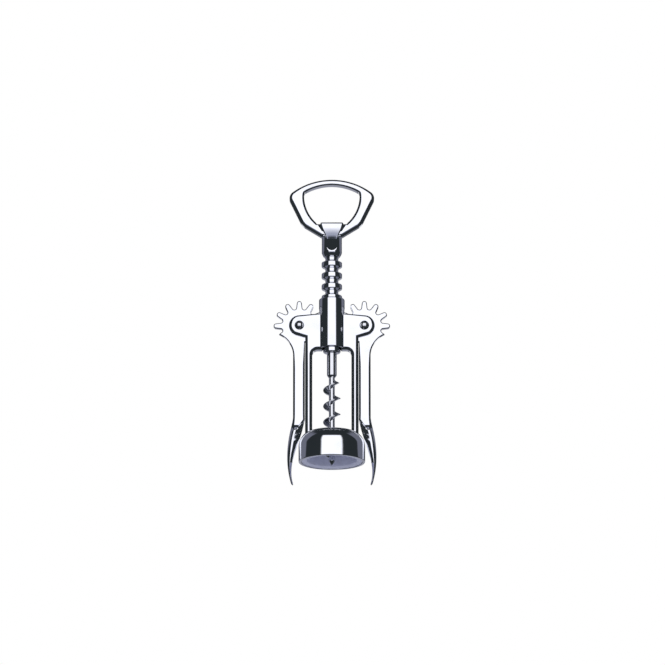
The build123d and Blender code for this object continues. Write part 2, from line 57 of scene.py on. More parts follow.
# %% Shared sizes in millimetres
MM = 0.001
PIVOT_X = 19.67
PIVOT_Z = 84.6
TOOTH_MODULE = 2.22
TEETH_PER_TURN = 12
TEETH_CUT = 7
PITCH_RADIUS = TOOTH_MODULE * TEETH_PER_TURN / 2
TIP_RADIUS = PITCH_RADIUS + TOOTH_MODULE
ROOT_RADIUS = PITCH_RADIUS - 1.25 * TOOTH_MODULE
RING_PITCH = np.pi * TOOTH_MODULE
BODY_HALF_DEPTH = 3.25
RIVET_RADIUS = 2.0
SCREW_HOLE = 6.4  # radius of the hole in the crown and in the lining
BELL_TOP_Z = 18.5
BELL_HOLLOW_Z = 12.5
ARCH_Z = 69.5
TUBE_TOP_Z = 101.5
HUB_FOOT_Z = 127.8

# %% [markdown]
# ## From a grid of points to a piece
#
# Most faces of this tool are turned on a lathe or are the rim of a flat plate. Both are surfaces of
# two parameters, along a path and across a profile. So one helper takes a whole grid of points and
# puts a quad between neighbours. Rows or columns can close on themselves, and one polygon closes a
# flat end. Where a row shrinks to a point, its doubles are merged.

# %% The helpers that make meshes
SAME_POINT = 1e-7  # metres


def grid_quads(rows, columns, close_rows=False, close_columns=True):
    """Corner numbers of the quads of a grid: row i, column j, next column, next row."""
    i, j = np.meshgrid(np.arange(rows if close_rows else rows - 1),
                       np.arange(columns if close_columns else columns - 1), indexing="ij")
    below, beside = (i + 1) % rows, (j + 1) % columns
    corners = [i * columns + j, i * columns + beside, below * columns + beside, below * columns + j]
    return np.stack(corners, -1).reshape(-1, 4).tolist()


def make_piece(name, grid, close_rows=False, close_columns=True, capped=(), caps=()):
    """A closed piece from a grid of points in millimetres.

    One polygon closes each row whose number is in capped; caps are the corners of other polygons.
    """
    rows, columns = grid.shape[:2]
    caps = [*caps, *(np.arange(columns) + row % rows * columns for row in capped)]
    mesh = bpy.data.meshes.new(name)
    faces = grid_quads(rows, columns, close_rows, close_columns) + [cap.tolist() for cap in caps]
    mesh.from_pydata(grid.reshape(-1, 3) * MM, [], faces)
    tidy = bmesh.new()
    tidy.from_mesh(mesh)
    bmesh.ops.remove_doubles(tidy, verts=tidy.verts, dist=SAME_POINT)
    bmesh.ops.recalc_face_normals(tidy, faces=tidy.faces)
    tidy.to_mesh(mesh)
    tidy.free()
    piece = bpy.data.objects.new(name, mesh)
    bpy.context.scene.collection.objects.link(piece)
    return piece


def read_all(items, name, width=1, kind=float):
    """One attribute of all points or faces at once, in rows where the width is above 1."""
    values = np.empty(len(items) * width, kind)
    items.foreach_get(name, values)
    return values.reshape(-1, width) if width > 1 else values


# %% [markdown]
# ## Turned pieces
#
# A lathe turns a half outline about an axis. Each corner of a real turned piece is broken by a
# small radius, and on polished metal that radius draws the bright and dark lines. So the half
# outline is given as corners with a radius each, and every corner becomes a short curve before it
# is turned.

# %% Rounded corners and lathe work
def round_corners(corners, radii, steps=6):
    """Each corner becomes a quadratic curve between the two points at its radius along the sides.

    With corner c and side points a and b the curve is (1-t)^2 a + 2 t (1-t) c + t^2 b.
    """
    corners = np.asarray(corners, float)
    radii = np.asarray(radii, float)[:, None]
    before, after = np.roll(corners, 1, 0) - corners, np.roll(corners, -1, 0) - corners
    start = corners + before / np.linalg.norm(before, axis=1)[:, None] * radii
    stop = corners + after / np.linalg.norm(after, axis=1)[:, None] * radii
    t = np.linspace(0, 1, steps)[None, :, None]
    start, corners, stop = start[:, None], corners[:, None], stop[:, None]
    return ((1 - t) ** 2 * start + 2 * t * (1 - t) * corners + t ** 2 * stop).reshape(-1, 2)


def lathe(name, profile, around=128):
    """Turns a closed half outline of (radius, z) about z: (r cos a, r sin a, z)."""
    turn = np.linspace(0, 2 * np.pi, around, endpoint=False)
    radius, height = profile[:, :1], profile[:, 1:]
    grid = np.stack([radius * np.cos(turn), radius * np.sin(turn), height + 0 * turn], -1)
    return make_piece(name, grid, close_rows=True)


def lay_on_front(piece, x, z):
    """Turns a piece that was made about z so that its top looks forward, and puts it at (x, z)."""
    across, away, up = read_all(piece.data.vertices, "co", 3).T
    placed = np.stack([across + x * MM, -up, away + z * MM], -1)
    piece.data.vertices.foreach_set("co", placed.ravel())
    piece.data.update()
    return piece


def bar(name, radius, low, high, around=96):
    """A plain round bar about z, used to drill and to mill."""
    half = np.array([(0, low), (radius, low), (radius, high), (0, high)], float)
    return lathe(name, half, around)


# %% [markdown]
# ## Plates with a ground rim
#
# The body and the levers are plates. A plate is its outline, carried from back to front while it
# shrinks by the rim's width at both faces. To shrink an outline, each point moves along the mean of
# the normals of its two sides, a little more where the outline bends. The rim lies between a bevel
# and a quarter ellipse, as grinding leaves it: |u|^p + |v|^p = 1, with p near 1.1. It goes in
# further than it falls back, so that it leans about thirty degrees and mirrors the dark sides of a
# room.

# %% The helper for plates
def shrink(outline, distance):
    """Moves an anticlockwise outline inwards: p + distance (n1 + n2) / (1 + n1 . n2)."""
    sides = np.roll(outline, -1, 0) - outline
    normals = np.stack([-sides[:, 1], sides[:, 0]], -1) / np.linalg.norm(sides, axis=1)[:, None]
    earlier = np.roll(normals, 1, 0)
    bend = np.maximum(1 + np.sum(normals * earlier, axis=1)[:, None], 0.5)
    return outline + distance[:, None] * (normals + earlier) / bend


def ground_rim(steps, power=1.08, fall=0.62):
    """Inwards 1 - cos(a)^(2/p) and backwards fall (1 - sin(a)^(2/p)), as shares of the rim."""
    angles = np.linspace(0, np.pi / 2, steps)
    inwards = 1 - np.abs(np.cos(angles)) ** (2 / power)
    backwards = fall * (1 - np.abs(np.sin(angles)) ** (2 / power))
    return inwards, backwards


def plate(name, outline, half_depth, rim, steps=6, parts=None):
    """A standing plate with a ground rim, from an outline in (x, z).

    The rim's width is given per point, and so can the half depth be. Where a face isn't one flat
    polygon, parts lists the corners of each flat part.
    """
    loops = []
    for inwards, backwards in zip(*ground_rim(steps)):
        loop = shrink(outline, rim * inwards)
        loops.append(np.stack([loop[:, 0], half_depth - rim * backwards, loop[:, 1]], -1))
    grid = np.stack(loops[::-1] + [loop * (1, -1, 1) for loop in loops])
    if parts is None:
        return make_piece(name, grid, capped=[0, -1])
    last = (len(grid) - 1) * len(outline)
    return make_piece(name, grid, caps=[*parts, *(part + last for part in parts)])


def arc(centre, radius, start, stop, step=4.0):
    """Points on a circle from one angle to another, in degrees, both ends included."""
    count = max(int(abs(stop - start) / step), 2) + 1
    turn = np.radians(np.linspace(start, stop, count))
    return np.stack([centre[0] + radius * np.cos(turn), centre[1] + radius * np.sin(turn)], -1)


def both_sides(right):
    """An outline from its right half: the half itself, then its mirror image on the way back."""
    return np.concatenate([right, right[::-1] * (-1, 1)])


# %% [markdown]
# ## Milling and smoothing
#
# Holes, slots and hollows are cut with other closed pieces, as a mill does. Polished metal shows
# every flaw in its shading, so large flat faces are shaded flat, which keeps them true mirrors, and
# an edge that bends by more than 30 degrees stays crisp.

# %% The helpers that cut and shade
CRISP_BEND = np.radians(30)
SQUARE_ON = 0.99995  # the largest part of a unit normal
LARGE_FACE = 0.3  # square millimetres
MANY_CORNERS = 12


def mill(piece, *cutters):
    """Takes closed cutters out of a closed piece, and removes the cutters."""
    for cutter in cutters:
        cut = piece.modifiers.new(cutter.name, "BOOLEAN")
        cut.object, cut.operation, cut.solver = cutter, "DIFFERENCE", "EXACT"
    bpy.context.view_layer.update()
    solid = piece.evaluated_get(bpy.context.evaluated_depsgraph_get())
    mesh = bpy.data.meshes.new_from_object(solid)
    piece.modifiers.clear()
    piece.data = mesh
    mesh.name = piece.name
    for cutter in cutters:
        bpy.data.objects.remove(cutter)
    return piece


def polish(piece):
    """Smooth shading, except on faces with many corners and on large ones square on an axis."""
    faces = piece.data.polygons
    square_on = np.abs(read_all(faces, "normal", 3)).max(1) > SQUARE_ON
    large = read_all(faces, "area") / MM ** 2 > LARGE_FACE
    flat = (read_all(faces, "loop_total", kind=int) > MANY_CORNERS) | (square_on & large)
    piece.data.set_sharp_from_angle(angle=CRISP_BEND)
    faces.foreach_set("use_smooth", ~flat)
    return piece


def mirrored(piece, name):
    """The same piece on the other side of the screw: x becomes -x, and its faces turn out again."""
    mesh = piece.data.copy()
    mesh.vertices.foreach_set("co", (read_all(mesh.vertices, "co", 3) * (-1, 1, 1)).ravel())
    mesh.flip_normals()
    twin = bpy.data.objects.new(name, mesh)
    bpy.context.scene.collection.objects.link(twin)
    return twin


# %% [markdown]
# ## Shader arithmetic
#
# A finish is a set of nodes. Written as sums they stay readable: a small class wraps the output of
# a node, and an operator on it adds the Math node it stands for. Every node comes from one method,
# which sets the node's options first and then its sockets.

# %% The socket wrapper and the finish class
class Amount:
    """A number on its way through a finish; sums and products with it become Math nodes."""

    def __init__(self, finish, socket):
        self.finish, self.socket = finish, socket

    def __add__(self, other):
        return self.finish.calculate("ADD", self, other)

    def __sub__(self, other):
        return self.finish.calculate("SUBTRACT", self, other)

    def __rsub__(self, other):
        return self.finish.calculate("SUBTRACT", other, self)

    def __mul__(self, other):
        return self.finish.calculate("MULTIPLY", self, other)

    __radd__, __rmul__ = __add__, __mul__


class Finish:
    """A material, or the world, and the one method that adds nodes to it."""

    def __init__(self, owner):
        owner.use_nodes = True
        self.tree = owner.node_tree
        self.tree.nodes.clear()

    def node(self, kind, sockets=None, **options):
        """Adds a node with its options and sockets; its outputs come by number and by name."""
        node = self.tree.nodes.new("ShaderNode" + kind)
        for option, value in options.items():
            setattr(node, option, value)
        for socket, value in (sockets or {}).items():
            if isinstance(value, Amount):
                self.tree.links.new(value.socket, node.inputs[socket])
            else:
                node.inputs[socket].default_value = value
        return {key: Amount(self, output) for number, output in enumerate(node.outputs)
                for key in (number, output.name)}

    def calculate(self, operation, *amounts):
        """The result of one Math node."""
        return self.node("Math", dict(enumerate(amounts)), operation=operation)[0]

    def between(self, factor, low, high):
        """0 below low, 1 above high, and a soft step in between."""
        return self.node("MapRange", {"Value": factor, "From Min": low, "From Max": high},
                         interpolation_type="SMOOTHSTEP")["Result"]

    def band(self, factor, rise, fall):
        """0, then 1 after the soft step of the rise, then 0 again after that of the fall."""
        return self.between(factor, *rise) * (1 - self.between(factor, *fall))

    def noise(self, where, scale, detail, roughness=0.5):
        """Cloudy values from 0 to 1: a scale of 100 makes patches of about a centimetre."""
        return self.node("TexNoise", {
            "Vector": where, "Scale": scale, "Detail": detail, "Roughness": roughness})["Fac"]

    def mix(self, factor, first, second):
        """A colour between two colours; the node's colour sockets are numbers 6, 7 and 2."""
        return self.node("Mix", {0: factor, 6: first, 7: second}, data_type="RGBA")[2]

    def surface(self, tint, roughness, height, strength, distance, metallic=1.0):
        """The last nodes of a material: its colour and roughness, and a bump made from a height."""
        bump = self.node("Bump", {"Height": height, "Strength": strength, "Distance": distance})
        shader = self.node("BsdfPrincipled", {
            "Base Color": tint, "Metallic": metallic, "Roughness": roughness,
            "Normal": bump["Normal"]})
        self.node("OutputMaterial", {"Surface": shader["BSDF"]})


def start_finish(name):
    """A new material, its finish, and the place on the piece that its patterns follow."""
    material = bpy.data.materials.new(name)
    finish = Finish(material)
    return material, finish, finish.node("TexCoord")["Object"]


# %% [markdown]
# ## Polished chrome
#
# Chrome is a thin bright layer over a casting that was ground and buffed. It is almost a mirror, a
# little blue, and what gives it away as metal is small: the casting's slow waves, fine specks, and
# a film from fingers that dulls it in patches. So the finish is a metal with a pale cool colour, a
# low roughness that varies in patches, and a faint bump that is mostly slow and a little fine.

# %% The chrome finish
def rgba(red, green, blue):
    return (red, green, blue, 1.0)


def make_chrome(name, wave, film, seed, painted_shade_tone=1.0):
    """Chrome: wave scales its unevenness, film its dull patches; a tone under 1 is painted shade."""
    material, finish, place = start_finish(name)
    placed = finish.node("Mapping", {"Vector": place, "Location": (seed, 0.3 * seed, 0)})
    where = placed["Vector"]
    specks = finish.noise(where, 900.0, 2.0)
    slow = finish.noise(where, 110.0, 1.0, 0.4)
    dull = finish.between(finish.noise(where, 70.0, 3.0, 0.6), 0.45, 0.75)
    # A tone under 1 darkens both colours: painted shade, not a property of the plating.
    clean, filmed = painted_shade_tone * np.array([(0.90, 0.91, 0.95), (0.80, 0.815, 0.87)])
    tint = finish.mix(dull * (0.6 * film) + specks * 0.15, rgba(*clean), rgba(*filmed))
    finish.surface(tint, dull * (0.05 * film) + specks * 0.02 + 0.045,
                   height=slow * (0.9 * wave) + specks * 0.02, strength=0.06, distance=0.0008)
    return material


# The worm's chrome gets a tone of 0.86, a darker copy of the chrome as painted shade for the worm
# under the bell.
finishes = {slot: make_chrome("polished_" + slot, *values) for slot, values in {
    "chrome_body": (1.0, 1.0, 0.0), "chrome_lever": (0.6, 1.0, 0.7), "chrome_rack": (0.4, 0.8, 1.9),
    "chrome_worm": (0.5, 0.8, 2.6, 0.86), "chrome_handle": (0.9, 1.0, 3.4)}.items()}

# %% [markdown]
# ## Plain steel and moulded plastic
#
# The rivets and the cross pin are bare polished steel: darker than chrome and less sharp, with fine
# marks. The ring in the bell is moulded plastic, a bluish grey with a satin grain, slightly scuffed
# by bottles.

# %% The steel and the plastic
def make_steel(name):
    """Bare steel: fine marks in the surface, and patches that are a little lighter and duller."""
    material, finish, place = start_finish(name)
    marks = finish.noise(place, 1500.0, 3.0, 0.7)
    patches = finish.noise(place, 160.0, 2.0)
    tint = finish.mix(patches, rgba(0.70, 0.71, 0.75), rgba(0.80, 0.81, 0.84))
    finish.surface(tint, marks * 0.06 + patches * 0.05 + 0.06,
                   height=marks, strength=0.05, distance=0.0002)
    return material


def make_plastic(name):
    """Moulded plastic: a fine grain, and scuffs that are lighter and duller."""
    material, finish, place = start_finish(name)
    grain = finish.noise(place, 1800.0, 4.0, 0.6)
    worn = finish.between(finish.noise(place, 120.0, 5.0, 0.65), 0.5, 0.8)
    tint = finish.mix(worn, rgba(0.41, 0.43, 0.56), rgba(0.51, 0.53, 0.66))
    finish.surface(tint, grain * 0.1 + worn * 0.15 + 0.38,
                   height=grain, strength=0.25, distance=0.0001, metallic=0.0)
    return material


finishes["polished_steel"] = make_steel("buffed_steel")
finishes["grey_plastic"] = make_plastic("satin_grey_plastic")


def dress(piece, slot, body, *nodes):
    """Gives a finished piece its material, the body it moves with and the solids it stands for."""
    piece.data.materials.clear()
    piece.data.materials.append(finishes[slot])
    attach(piece, body)
    if nodes:
        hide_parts(*nodes)
    size = np.ptp(read_all(piece.data.vertices, "co", 3), axis=0) / MM
    print(piece.name, "measures", np.round(size, 2).tolist(), "mm")


# %% [markdown]
# ## The body casting
#
# The casting's flat part has two round ears for the rivets, cheeks that slope in to the legs, and a
# window between the legs. Where a straight edge touches an ear is found from the triangle of ear
# centre, touching point and corner. The slots for the gears, the rack's bore and the rivet holes
# are milled out.

# %% The body's plate
EAR_RADIUS = 6.25
TUBE_RADIUS = 7.77
TUBE_BORE = 6.3
LEG_OUTER = 16.1
LEG_INNER = 11.85
CHEEK_TOP = (TUBE_RADIUS, PIVOT_Z + 7.3)
CHEEK_FOOT = (LEG_OUTER, PIVOT_Z - 7.5)
ARCH_CORNER = 3.2
TIP_ROOM = 0.3  # beyond the tips of the teeth
HALF_SLOT = 1.65  # a gear's half thickness and 0.15 for play
PRESS_GAP = 0.01
THROUGH = 6.0  # half length of a drill right through a plate


def touch_angle(corner, centre, radius, side):
    """Angle, seen from the circle's centre, where a line from the corner touches the circle."""
    across, up = corner[0] - centre[0], corner[1] - centre[1]
    spread = np.degrees(np.arccos(radius / np.hypot(across, up)))
    return np.degrees(np.arctan2(up, across)) + side * spread


def casting_outline():
    """Arch, leg, cheek's foot, ear and cheek's top on the right, and the same on the left."""
    ear = (PIVOT_X, PIVOT_Z)
    upper = touch_angle(CHEEK_TOP, ear, EAR_RADIUS, -1)
    lower = touch_angle(CHEEK_FOOT, ear, EAR_RADIUS, 1)
    arch = arc((LEG_INNER - ARCH_CORNER, ARCH_Z - ARCH_CORNER), ARCH_CORNER, 0, 90)
    foot = (BELL_TOP_Z + BELL_HOLLOW_Z) / 2
    return both_sides(np.concatenate([
        arch[::-1], [(LEG_INNER, foot), (LEG_OUTER, foot), CHEEK_FOOT],
        arc(ear, EAR_RADIUS, lower, upper), [CHEEK_TOP]]))


def gear_room(side):
    """The disc that a gear turns in."""
    disc = bar("gear_room", TIP_RADIUS + TIP_ROOM, -HALF_SLOT, HALF_SLOT, 180)
    return lay_on_front(disc, side * PIVOT_X, PIVOT_Z)


def rivet_hole(side, gap=PRESS_GAP):
    """The drill for a rivet's hole, on the left for side -1 and on the right for side 1."""
    drill = bar("rivet_hole", RIVET_RADIUS + gap, -THROUGH, THROUGH)
    return lay_on_front(drill, side * PIVOT_X, PIVOT_Z)


body_outline = casting_outline()
body_rim = np.interp(body_outline[:, 1], [PIVOT_Z + 2, CHEEK_TOP[1]], [1.7, 0.7])  # finer on top
casting = plate("body_casting", body_outline, BODY_HALF_DEPTH, body_rim, steps=8)
mill(casting, gear_room(-1), gear_room(1), rivet_hole(-1), rivet_hole(1),
     bar("rack_bore", TUBE_BORE, ARCH_Z - 3, TUBE_TOP_Z + 3, 128))
dress(polish(casting), "chrome_body", "frame", "frame_body")

# %% [markdown]
# ## The tube and the bell
#
# Both are lathe work. The bell has a straight side, a shoulder that is a quarter of an ellipse, a
# flat crown with the screw's hole, and a hollow for the lining.

# %% Turn the tube and the bell
TUBE_FOOT_Z = 70.7
ROUND = 160  # sides of the widest turned pieces

tube_profile = round_corners([(TUBE_BORE, TUBE_FOOT_Z), (TUBE_RADIUS, TUBE_FOOT_Z),
                              (TUBE_RADIUS, TUBE_TOP_Z), (TUBE_BORE, TUBE_TOP_Z)],
                             [0.3, 0.6, 1.0, 0.3], steps=7)
tube = mill(lathe("rack_tube", tube_profile), gear_room(-1), gear_room(1))
dress(polish(tube), "chrome_body", "frame")


def bell_profile():
    """Rim, straight side, quarter ellipse, crown, hole and hollow, from inside the rim outwards."""
    outside, inside, crown, side_top = 20.05, 18.35, 12.05, 9.5
    turn = np.linspace(0, np.pi / 2, 19)
    shoulder = np.stack([crown + (outside - crown) * np.cos(turn),
                         side_top + (BELL_TOP_Z - side_top) * np.sin(turn)], -1)
    rim = round_corners([(inside, 0), (outside, 0), (outside, 6)], [0.3, 0.5, 0.1])[:12]
    hollow = round_corners([(SCREW_HOLE, BELL_TOP_Z), (SCREW_HOLE, BELL_HOLLOW_Z),
                            (inside, BELL_HOLLOW_Z)], [0.5, 0.5, 0.2])
    return np.concatenate([rim, shoulder, hollow])


dress(polish(lathe("bell", bell_profile(), ROUND)), "chrome_body", "frame")

# %% [markdown]
# ## The bell's lining
#
# The bottle's mouth slides into a plastic ring and stops against its ceiling. Its rim stands a
# little back from the metal, and its inner edge is bevelled to lead the glass in.

# %% Turn the lining
LINING_OUTSIDE = 18.34
LINING_BORE = 15.0
LINING_LEAD = 0.8  # across and along, where the glass is led in
LINING_RIM_Z = 0.4
STOP_Z = 10.7

lining_profile = round_corners(
    [(LINING_BORE + LINING_LEAD, LINING_RIM_Z), (LINING_OUTSIDE, LINING_RIM_Z),
     (LINING_OUTSIDE, BELL_HOLLOW_Z), (SCREW_HOLE, BELL_HOLLOW_Z), (SCREW_HOLE, STOP_Z),
     (LINING_BORE, STOP_Z), (LINING_BORE, LINING_RIM_Z + LINING_LEAD)],
    [0.25, 0.15, 0.15, 0.2, 0.4, 1.2, 0.4])
dress(polish(lathe("bell_lining", lining_profile, ROUND)), "grey_plastic", "frame", "bell_liner")

# %% [markdown]
# ## The rivets
#
# A rivet's head is a cap of a sphere, and its far end is hammered flat. The cap's radius follows
# from its height h and its half width w: (w^2 + h^2) / 2h.

# %% Turn the rivets
def rivet_profile():
    """The cap from its top outwards, the shaft through the body, and the hammered end behind it."""
    width, height, edge = 2.9, 2.2, 0.1
    face, end = -BODY_HALF_DEPTH, -BODY_HALF_DEPTH - 1.0
    ball = (width ** 2 + height ** 2) / (2 * height)
    turn = np.linspace(0, np.arcsin(width / ball), 16)
    cap = np.stack([ball * np.sin(turn), BODY_HALF_DEPTH + height - ball + ball * np.cos(turn)], -1)
    shaft = [(RIVET_RADIUS, BODY_HALF_DEPTH), (RIVET_RADIUS, face), (width - edge, face)]
    flat = round_corners([(width, face - edge), (width, end), (0, end)], [0.05, 0.5, 0.05])[:14]
    return np.concatenate([cap, shaft, flat, [(0, end)]])


left_rivet = lay_on_front(lathe("left_rivet_head", rivet_profile(), 72), -PIVOT_X, PIVOT_Z)
right_rivet = mirrored(polish(left_rivet), "right_rivet_head")
dress(left_rivet, "polished_steel", "frame", "left_rivet")
dress(right_rivet, "polished_steel", "frame", "right_rivet")

# %% [markdown]
# ## The gear teeth
#
# Every tooth has a round tip, flanks that lean in by seven degrees, and a round valley on the way
# to the next one. One tooth and its valley are computed once, as distances out from the pivot and
# to the side, and then turned into all seven places at the same time.

# %% The outline of the toothed end
TOOTH_LEAN = np.radians(7.0)
TOOTH_PLAY = 0.30
HALF_STEP = np.pi / TEETH_PER_TURN
WHOLE_STEP = 360 / TEETH_PER_TURN  # degrees from one tooth to the next
ARC_STEP = 12  # degrees between the points of a tooth's arcs


def tooth_and_valley():
    """Tip circle and valley circle that both touch the leaning flank, as (out, aside) points."""
    half_tooth = (RING_PITCH / 2 - TOOTH_PLAY) / 2
    reach = (half_tooth + PITCH_RADIUS * np.tan(TOOTH_LEAN)) * np.cos(TOOTH_LEAN)
    tip = (reach - TIP_RADIUS * np.sin(TOOTH_LEAN)) / (1 - np.sin(TOOTH_LEAN))
    spread = np.sin(HALF_STEP + TOOTH_LEAN)
    valley = (ROOT_RADIUS * spread - reach) / (1 - spread)
    opening = 90 - np.degrees(TOOTH_LEAN)
    crest = arc((TIP_RADIUS - tip, 0), tip, -opening, opening, ARC_STEP)
    centre = (ROOT_RADIUS + valley) * np.array([np.cos(HALF_STEP), np.sin(HALF_STEP)])
    middle = 180 + np.degrees(HALF_STEP)
    first = 270 - np.degrees(TOOTH_LEAN)
    floor = arc(centre, valley, first, 2 * middle - first, ARC_STEP)
    return crest, floor


def around_pivot(points, degrees):
    """Turns (out, aside) points about the left pivot by an angle: a rotation, then a shift."""
    turn = np.radians(degrees)
    out, aside = points[..., 0], points[..., 1]
    return np.stack([out * np.cos(turn) - aside * np.sin(turn) - PIVOT_X,
                     out * np.sin(turn) + aside * np.cos(turn) + PIVOT_Z], -1)


crest, floor = tooth_and_valley()
tooth = np.concatenate([crest, floor])
turns = np.arange(TEETH_CUT)[:, None] * WHOLE_STEP
teeth = around_pivot(np.broadcast_to(tooth, (TEETH_CUT, *tooth.shape)), turns).reshape(-1, 2)

# %% [markdown]
# ## The levers
#
# Below the teeth each lever narrows into a straight arm that hangs beside the body and grows
# thicker towards its foot, whose inner corner is cut away. The rim is 0.5 mm wide on the teeth, 1.2
# mm on the arm and 0.8 mm at the foot. The front face bends where the arm starts to thicken, so two
# polygons that share that line close it.

# %% The lever's plate
ARM_INNER = 3.36  # from the pivot inwards
ARM_INNER_X = -PIVOT_X + ARM_INNER
ARM_OUTER_X = ARM_INNER_X - 7.1
ARM_CURVE = 14.0
ARM_FOOT_Z = 21.8
FOOT_CORNER = (3.1, 3.9)
BEND_Z = PIVOT_Z - 11.0
SHOULDER_RADIUS = 13.2
BEND_GAP = 0.2  # no other point is nearer to the bend
GEAR_HALF_DEPTH = 1.5
FOOT_HALF_DEPTH = 2.5
RUN_GAP = 0.05


def lever_outline():
    """Bend, heel, teeth, shoulder, arm; returned with the numbers of the two points on the bend."""
    heel_top = np.array([(ARM_INNER_X, PIVOT_Z - np.sqrt(ROOT_RADIUS ** 2 - ARM_INNER ** 2))])
    heel = arc((-PIVOT_X, PIVOT_Z), ROOT_RADIUS, -68, -15, 6)
    first_foot = around_pivot(floor[-1:], -WHOLE_STEP)
    flank = floor[:1] * (1, -1)
    share = (SHOULDER_RADIUS - flank[0, 0]) / (crest[0, 0] - flank[0, 0])
    shoulder = around_pivot(flank + share * (crest[:1] - flank), TEETH_CUT * WHOLE_STEP)[0]
    centre_x = ARM_OUTER_X - ARM_CURVE
    sweep = np.degrees(np.arccos((shoulder[0] - centre_x) / ARM_CURVE))
    centre_z = shoulder[1] - ARM_CURVE * np.sin(np.radians(sweep))
    curve = arc((centre_x, centre_z), ARM_CURVE, sweep, 0)
    on_bend = np.array([(np.interp(BEND_Z, curve[::-1, 1], curve[::-1, 0]), BEND_Z)])
    above = curve[curve[:, 1] > BEND_Z + BEND_GAP]
    below = curve[curve[:, 1] < BEND_Z - BEND_GAP]
    arm_z = np.linspace(below[-1, 1], ARM_FOOT_Z, 12)[1:]
    outer = np.stack([np.full(len(arm_z), ARM_OUTER_X), arm_z], -1)
    outer = np.concatenate([outer, [(ARM_INNER_X - FOOT_CORNER[0], ARM_FOOT_Z)]])
    inner_z = np.linspace(ARM_FOOT_Z + FOOT_CORNER[1], BEND_Z, 12)[:-1]
    inner = np.stack([np.full(len(inner_z), ARM_INNER_X), inner_z], -1)
    upper = np.concatenate([[(ARM_INNER_X, BEND_Z)], heel_top, heel, first_foot, teeth, above])
    return np.concatenate([upper, on_bend, below, outer, inner]), len(upper)


outline, bend = lever_outline()
down = np.clip((BEND_Z - outline[:, 1]) / (BEND_Z - ARM_FOOT_Z), 0, 1)
lever_rim = np.interp(outline[:, 1], [ARM_FOOT_Z, 27, 60, BEND_Z], [0.8, 1.2, 1.2, 0.5])
lever_depth = GEAR_HALF_DEPTH + (FOOT_HALF_DEPTH - GEAR_HALF_DEPTH) * down
lever = plate("left_lever_plate", outline, lever_depth, lever_rim,
              parts=[np.arange(bend + 1), np.append(np.arange(bend, len(outline)), 0)])
polish(mill(lever, rivet_hole(-1, RUN_GAP)))

# %% [markdown]
# ## The claws
#
# Each arm ends in a horn that curves out and comes back to a blunt tip, where two fingers push it
# down. It has a ridge down its front and its back with an almost flat flank on each side, so its
# level slices are two halves of a superellipse with a low power. The ridge starts near the outside,
# runs back to the middle, and is ground off to a narrow land that ends above the tip. Under the
# foot a notch is cut across the horn, so that the foot's bevel stays free.

# %% The claw along its curve
CLAW_SPINE = np.array([(-19.86, 27.3), (-21.5, 15.5), (-28.6, 0.5), (-23.6, -14.3)])
INNER_POWER, OUTER_POWER = 1.04, 1.25
LAND_SHARE = 0.1  # of the half depth, ground off the ridge
TIP_SHARE = 0.02  # of the curve, over which the tip is rounded
NOTCH_Z = 22.2
NOTCH_SPREAD = 1.7
NOTCH_SHARE = 0.62  # of the half depth, at the middle of the notch


def soft_step(t, low, high):
    """0 below low, 1 above high, 3 s^2 - 2 s^3 in between."""
    s = np.clip((t - low) / (high - low), 0, 1)
    return s * s * (3 - 2 * s)


def claw_grid(rows=120, columns=72):
    """Spine (1-t)^3 p0 + 3t(1-t)^2 p1 + 3t^2(1-t) p2 + t^3 p3; |u|^p + |v|^p = 1 at each height.

    The power p is near 1 on the almost flat inner side, and larger on the fuller outer side.
    """
    t = np.linspace(0, 1, rows)[:, None]
    spine = ((1 - t) ** 3 * CLAW_SPINE[0] + 3 * t * (1 - t) ** 2 * CLAW_SPINE[1]
             + 3 * t ** 2 * (1 - t) * CLAW_SPINE[2] + t ** 3 * CLAW_SPINE[3])
    blunt = np.sqrt(np.clip((1 - t) / TIP_SHARE, 0, 1))
    half_width = (3.6 - 3.0 * soft_step(t, 0.18, 0.97)) * blunt
    half_depth = (2.3 + 0.15 * soft_step(t, 0, 0.15) - 1.85 * soft_step(t, 0.3, 0.95)) * blunt
    ridge = -0.24 + 0.24 * soft_step(t, 0.3, 0.6)
    turn = np.linspace(0, 2 * np.pi, columns, endpoint=False)
    power = np.where(np.cos(turn) > 0, INNER_POWER, OUTER_POWER)
    across = np.sign(np.cos(turn)) * np.abs(np.cos(turn)) ** (2 / power)
    along = np.sign(np.sin(turn)) * np.abs(np.sin(turn)) ** (2 / power)
    along = np.clip(along / (1 - LAND_SHARE * (1 - soft_step(t, 0.45, 0.75))), -1, 1)
    x = spine[:, :1] + half_width * (ridge + across * (1 - np.sign(across) * ridge))
    z = spine[:, 1:]
    notch = np.exp(-((z - NOTCH_Z) / NOTCH_SPREAD) ** 2) * (1 - soft_step(across, 0.1, 0.4))
    return np.stack([x, half_depth * (1 - NOTCH_SHARE * notch) * along, z + 0 * turn], -1)


claw = polish(make_piece("left_claw", claw_grid(), capped=[0]))
right_lever = mirrored(lever, "right_lever_plate")
right_claw = mirrored(claw, "right_claw")
dress(lever, "chrome_lever", "left_lever", "left_lever")
dress(claw, "chrome_lever", "left_lever")
dress(right_lever, "chrome_lever", "right_lever", "right_lever")
dress(right_claw, "chrome_lever", "right_lever")

# %% [markdown]
# ## The ringed rack
#
# The levers drive a hollow rod whose teeth are rings, so that it meshes however it is turned. It is
# one lathe profile: seven grooves one tooth pitch apart, with rounded crests between them, and a
# plain nose that shows below the arch. All grooves are computed at once by adding their heights to
# the profile of one. The last one is cut off at its neck, where the rod meets the hub.

